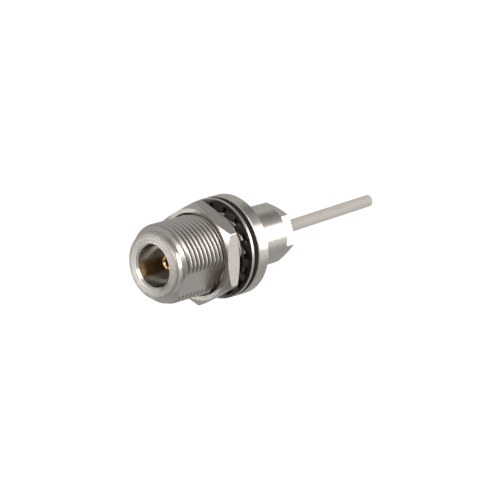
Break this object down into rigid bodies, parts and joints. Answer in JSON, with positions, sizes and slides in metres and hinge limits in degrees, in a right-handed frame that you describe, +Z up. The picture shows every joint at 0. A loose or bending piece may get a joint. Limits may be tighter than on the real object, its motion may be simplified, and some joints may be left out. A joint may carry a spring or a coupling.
{
  "type": "coaxial bulkhead jack",
  "caption": "Threaded coaxial bulkhead jack with a hexagon panel nut, toothed lock washer, gasket, round flange, rear barrel and clamp nut on a thin cable stub.",
  "frame": {"origin": "on the connector's axis, at the face of the flange that bears on the panel gasket", "axes": "-Y points out of the mating end, +Y along the cable, +Z up; the axis lies level"},
  "size_m": [0.0202, 0.0635, 0.021],
  "materials": {
    "nickel_plating": "bright nickel plating with fine turning marks",
    "washer_plating": "bright nickel plating on stamped sheet",
    "gold_plating": "bright gold plating",
    "ptfe": "matt white",
    "gasket_rubber": "dull dark rubber",
    "cable_jacket": "dull beige grey",
    "braid_wire": "silver-plated wire",
    "conductor_wire": "silver-plated wire"
  },
  "bodies": {
    "shell": {"shell": "nickel_plating", "panel_gasket": "gasket_rubber", "front_insulator": "ptfe", "rear_insulator": "ptfe", "centre_contact": "gold_plating", "braid_clamp": "nickel_plating", "clamp_gasket": "gasket_rubber", "cable_jacket": "cable_jacket", "cable_braid": "braid_wire", "cable_dielectric": "ptfe", "cable_conductor": "conductor_wire"},
    "lock_washer": {"lock_washer": "washer_plating"},
    "panel_nut": {"panel_nut": "nickel_plating"},
    "clamp_washer": {"clamp_washer": "nickel_plating"},
    "clamp_nut": {"clamp_nut": "nickel_plating"}
  },
  "joints": [
    {"name": "panel_nut_turn", "type": "hinge", "parent": "shell", "child": "lock_washer", "pos_m": [0, 0, 0], "axis": [0, -1, 0], "range_deg": [-540, 3780]},
    {"name": "panel_nut_travel", "type": "slide", "parent": "lock_washer", "child": "panel_nut", "axis": [0, -1, 0], "range_m": [-0.0016, 0.01112]},
    {"name": "clamp_nut_turn", "type": "hinge", "parent": "shell", "child": "clamp_washer", "pos_m": [0, 0, 0], "axis": [0, 1, 0], "range_deg": [0, 1620]},
    {"name": "clamp_nut_travel", "type": "slide", "parent": "clamp_washer", "child": "clamp_nut", "axis": [0, 1, 0], "range_m": [0, 0.0034]}
  ],
  "couplings": [
    {"joint": "panel_nut_travel", "follows": "panel_nut_turn", "m_per_rad": 0.00016844},
    {"joint": "clamp_nut_travel", "follows": "clamp_nut_turn", "m_per_rad": 0.00011937}
  ]
}
